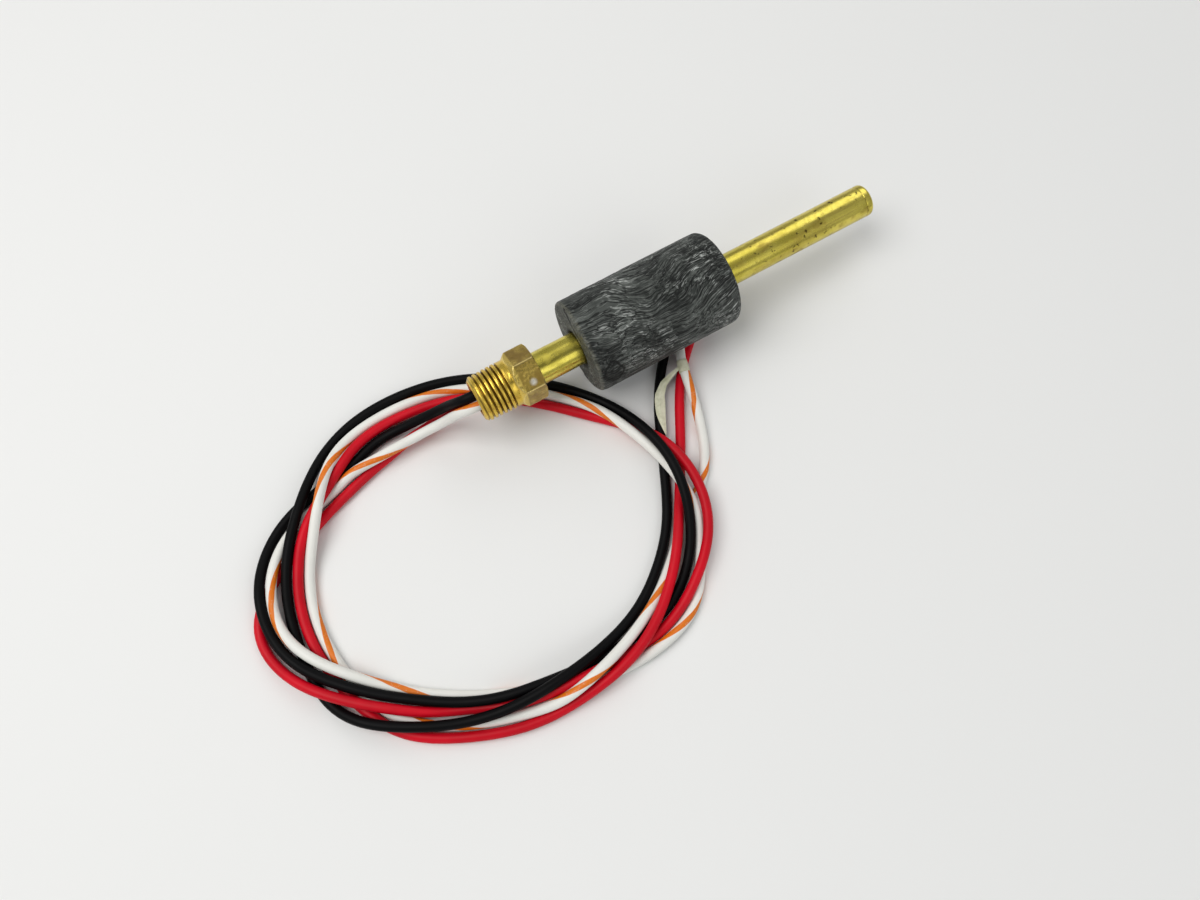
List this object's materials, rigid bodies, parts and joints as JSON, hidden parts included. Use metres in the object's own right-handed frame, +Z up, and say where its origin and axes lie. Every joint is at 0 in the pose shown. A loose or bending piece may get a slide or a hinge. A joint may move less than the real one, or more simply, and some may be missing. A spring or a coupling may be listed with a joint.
{
  "type": "float level switch",
  "caption": "Side-entry liquid level float switch: brass pipe-thread fitting, closed brass stem, foam float that slides and spins on it, and coiled flexible leads.",
  "frame": {"origin": "on the stem axis, half way along the probe (thread end to closed tip), leads not counted", "axes": "+X along the stem towards its closed tip, +Z up with the probe lying level above the table, +Y completes the right-handed set"},
  "size_m": [0.2115, 0.1043, 0.0312],
  "materials": {
    "fitting_brass": "machined, worn and a little tarnished",
    "stem_brass": "drawn, polished, with specks of tarnish",
    "braze": "as brazed",
    "potting": "cast resin",
    "glass": "clear",
    "reed_metal": "plated",
    "sleeve": "heat-shrink sleeve",
    "lead_black": "smooth insulation",
    "lead_red": "smooth insulation",
    "lead_white": "smooth insulation with a spiral orange stripe",
    "solder": "solder",
    "tinned_wire": "tinned copper strands",
    "tag_paper": "blank sticker tape",
    "magnet": "sintered ferrite",
    "float_foam": "closed-cell nitrile foam, marbled"
  },
  "bodies": {
    "probe": {"npt_fitting": "fitting_brass", "stem_tube": "stem_brass", "stem_end_plug": "stem_brass", "braze_ring": "braze", "potting_plug": "potting", "reed_glass": "glass", "reed_blade_common": "reed_metal", "reed_blade_open": "reed_metal", "reed_blade_closed": "reed_metal", "reed_sleeve": "sleeve", "inner_lead_black": "lead_black", "inner_lead_red": "lead_red", "inner_lead_white": "lead_white", "solder_joint_common": "solder", "solder_joint_open": "solder", "solder_joint_closed": "solder", "wire_black": "lead_black", "wire_red": "lead_red", "wire_white": "lead_white", "stripped_end_black": "tinned_wire", "stripped_end_red": "tinned_wire", "stripped_end_white": "tinned_wire", "wire_tag": "tag_paper"},
    "magnet": {"float_magnet": "magnet"},
    "float": {"float_body": "float_foam"}
  },
  "joints": [
    {"name": "float_slide", "type": "slide", "parent": "probe", "child": "magnet", "axis": [1, 0, 0], "range_m": [-0.0126, 0.0509]},
    {"name": "float_spin", "type": "hinge", "parent": "magnet", "child": "float", "pos_m": [-0.0095, 0, 0], "axis": [1, 0, 0], "continuous": true}
  ]
}
